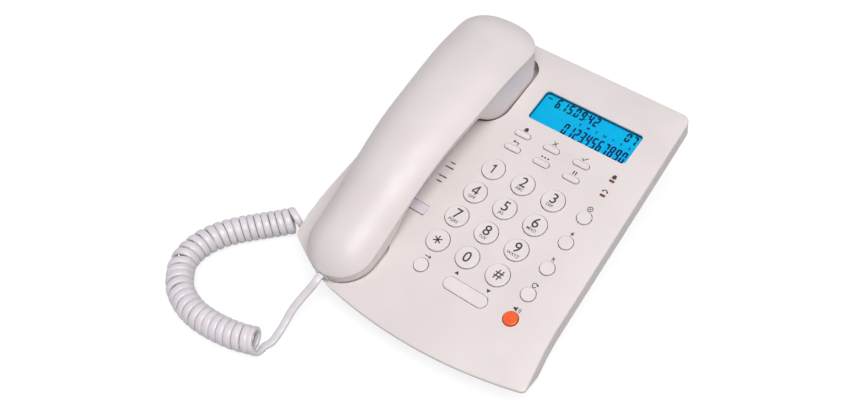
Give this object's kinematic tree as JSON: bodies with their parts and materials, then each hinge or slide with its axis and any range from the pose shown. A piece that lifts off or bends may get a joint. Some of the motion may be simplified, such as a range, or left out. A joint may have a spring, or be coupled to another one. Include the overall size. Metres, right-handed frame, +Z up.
{
  "type": "corded landline phone",
  "caption": "Desk telephone with a curly-corded handset in a cradle beside a sloping keypad and a lit caller display.",
  "frame": {"origin": "on the table, under the middle of the base's box", "axes": "+Z up, +Y from the front edge to the back, +X to the keypad's right"},
  "size_m": [0.2186, 0.2489, 0.0923],
  "materials": {
    "shell": "fine satin",
    "keys": "satin",
    "lever": "satin",
    "speaker_key": "satin",
    "led": "clear red",
    "window": "clear acrylic",
    "lcd": "lit liquid crystal panel",
    "diffuser": "milky",
    "board": "solder mask",
    "mat": "silicone",
    "dark": "black moulding",
    "steel": "plated",
    "feet": "matt",
    "cells": "sleeved cell",
    "plug": "clear moulding",
    "cord": "satin vinyl"
  },
  "bodies": {
    "base": {"top_housing": "shell", "bottom_housing": "shell", "lcd_window": "window", "lcd_panel": "lcd", "lcd_backlight": "diffuser", "main_board": "board", "keypad_mat": "mat", "ring_led": "led", "line_led": "led", "hook_switch": "dark", "loudspeaker": "dark", "line_jack": "dark", "base_cord_jack": "dark", "ringer_switch_frame": "steel", "batteries": "cells", "battery_contacts": "steel", "rubber_feet": "feet", "housing_screws": "steel", "base_plug": "plug", "coil_cord": "cord", "handset_tail": "cord", "base_tail": "cord"},
    "handset": {"handset_upper_shell": "shell", "handset_lower_shell": "shell", "receiver": "dark", "microphone": "steel", "handset_cord_jack": "dark", "handset_weight": "steel", "handset_screws": "steel", "handset_plug": "plug"},
    "key_1": {"key_1": "keys"},
    "key_2": {"key_2": "keys"},
    "key_3": {"key_3": "keys"},
    "key_4": {"key_4": "keys"},
    "key_5": {"key_5": "keys"},
    "key_6": {"key_6": "keys"},
    "key_7": {"key_7": "keys"},
    "key_8": {"key_8": "keys"},
    "key_9": {"key_9": "keys"},
    "key_star": {"key_star": "keys"},
    "key_0": {"key_0": "keys"},
    "key_hash": {"key_hash": "keys"},
    "hold_key": {"hold_key": "keys"},
    "auto_key": {"auto_key": "keys"},
    "flash_key": {"flash_key": "keys"},
    "redial_key": {"redial_key": "keys"},
    "out_key": {"out_key": "keys"},
    "speaker_key": {"speaker_key": "speaker_key"},
    "alarm_key": {"alarm_key": "keys"},
    "delete_key": {"delete_key": "keys"},
    "set_key": {"set_key": "keys"},
    "recall_key": {"recall_key": "keys"},
    "memory_key": {"memory_key": "keys"},
    "pause_key": {"pause_key": "keys"},
    "volume_rocker": {"volume_rocker": "keys"},
    "hook_lever": {"hook_lever": "lever"},
    "ringer_switch": {"ringer_switch": "dark"},
    "battery_door": {"battery_door": "shell"}
  },
  "joints": [
    {"name": "handset_lift", "type": "slide", "parent": "base", "child": "handset", "axis": [0, -0.2419, 0.9703], "range_m": [0, 0.03]},
    {"name": "hook_lever_swing", "type": "hinge", "parent": "base", "child": "hook_lever", "pos_m": [-0.0357, -0.03063, 0.03494], "axis": [1, 0, 0], "range_deg": [0, 9]},
    {"name": "key_1_press", "type": "slide", "parent": "base", "child": "key_1", "axis": [0, 0.2419, -0.9703], "range_m": [0, 0.0012], "stiffness_N_per_m": 500},
    {"name": "key_2_press", "type": "slide", "parent": "base", "child": "key_2", "axis": [0, 0.2419, -0.9703], "range_m": [0, 0.0012], "stiffness_N_per_m": 500},
    {"name": "key_3_press", "type": "slide", "parent": "base", "child": "key_3", "axis": [0, 0.2419, -0.9703], "range_m": [0, 0.0012], "stiffness_N_per_m": 500},
    {"name": "key_4_press", "type": "slide", "parent": "base", "child": "key_4", "axis": [0, 0.2419, -0.9703], "range_m": [0, 0.0012], "stiffness_N_per_m": 500},
    {"name": "key_5_press", "type": "slide", "parent": "base", "child": "key_5", "axis": [0, 0.2419, -0.9703], "range_m": [0, 0.0012], "stiffness_N_per_m": 500},
    {"name": "key_6_press", "type": "slide", "parent": "base", "child": "key_6", "axis": [0, 0.2419, -0.9703], "range_m": [0, 0.0012], "stiffness_N_per_m": 500},
    {"name": "key_7_press", "type": "slide", "parent": "base", "child": "key_7", "axis": [0, 0.2419, -0.9703], "range_m": [0, 0.0012], "stiffness_N_per_m": 500},
    {"name": "key_8_press", "type": "slide", "parent": "base", "child": "key_8", "axis": [0, 0.2419, -0.9703], "range_m": [0, 0.0012], "stiffness_N_per_m": 500},
    {"name": "key_9_press", "type": "slide", "parent": "base", "child": "key_9", "axis": [0, 0.2419, -0.9703], "range_m": [0, 0.0012], "stiffness_N_per_m": 500},
    {"name": "key_star_press", "type": "slide", "parent": "base", "child": "key_star", "axis": [0, 0.2419, -0.9703], "range_m": [0, 0.0012], "stiffness_N_per_m": 500},
    {"name": "key_0_press", "type": "slide", "parent": "base", "child": "key_0", "axis": [0, 0.2419, -0.9703], "range_m": [0, 0.0012], "stiffness_N_per_m": 500},
    {"name": "key_hash_press", "type": "slide", "parent": "base", "child": "key_hash", "axis": [0, 0.2419, -0.9703], "range_m": [0, 0.0012], "stiffness_N_per_m": 500},
    {"name": "hold_key_press", "type": "slide", "parent": "base", "child": "hold_key", "axis": [0, 0.2419, -0.9703], "range_m": [0, 0.0012], "stiffness_N_per_m": 500},
    {"name": "auto_key_press", "type": "slide", "parent": "base", "child": "auto_key", "axis": [0, 0.2419, -0.9703], "range_m": [0, 0.0012], "stiffness_N_per_m": 500},
    {"name": "flash_key_press", "type": "slide", "parent": "base", "child": "flash_key", "axis": [0, 0.2419, -0.9703], "range_m": [0, 0.0012], "stiffness_N_per_m": 500},
    {"name": "redial_key_press", "type": "slide", "parent": "base", "child": "redial_key", "axis": [0, 0.2419, -0.9703], "range_m": [0, 0.0012], "stiffness_N_per_m": 500},
    {"name": "out_key_press", "type": "slide", "parent": "base", "child": "out_key", "axis": [0, 0.2419, -0.9703], "range_m": [0, 0.0012], "stiffness_N_per_m": 500},
    {"name": "speaker_key_press", "type": "slide", "parent": "base", "child": "speaker_key", "axis": [0, 0.2419, -0.9703], "range_m": [0, 0.0012], "stiffness_N_per_m": 500},
    {"name": "alarm_key_press", "type": "slide", "parent": "base", "child": "alarm_key", "axis": [0, 0.2419, -0.9703], "range_m": [0, 0.0012], "stiffness_N_per_m": 500},
    {"name": "delete_key_press", "type": "slide", "parent": "base", "child": "delete_key", "axis": [0, 0.2419, -0.9703], "range_m": [0, 0.0012], "stiffness_N_per_m": 500},
    {"name": "set_key_press", "type": "slide", "parent": "base", "child": "set_key", "axis": [0, 0.2419, -0.9703], "range_m": [0, 0.0012], "stiffness_N_per_m": 500},
    {"name": "recall_key_press", "type": "slide", "parent": "base", "child": "recall_key", "axis": [0, 0.2419, -0.9703], "range_m": [0, 0.0012], "stiffness_N_per_m": 500},
    {"name": "memory_key_press", "type": "slide", "parent": "base", "child": "memory_key", "axis": [0, 0.2419, -0.9703], "range_m": [0, 0.0012], "stiffness_N_per_m": 500},
    {"name": "pause_key_press", "type": "slide", "parent": "base", "child": "pause_key", "axis": [0, 0.2419, -0.9703], "range_m": [0, 0.0012], "stiffness_N_per_m": 500},
    {"name": "volume_rocker_tilt", "type": "hinge", "parent": "base", "child": "volume_rocker", "pos_m": [0.0266, -0.05611, 0.02694], "axis": [0, 0.9703, 0.2419], "range_deg": [-3, 3], "stiffness_Nm_per_rad": 0.2},
    {"name": "ringer_slide", "type": "slide", "parent": "base", "child": "ringer_switch", "axis": [1, 0, 0], "range_m": [0, 0.005]},
    {"name": "battery_door_slide", "type": "slide", "parent": "base", "child": "battery_door", "axis": [0, -1, 0], "range_m": [0, 0.008]}
  ],
  "couplings": [
    {"joint": "hook_lever_swing", "follows": "handset_lift", "rad_per_m": 5.236}
  ]
}
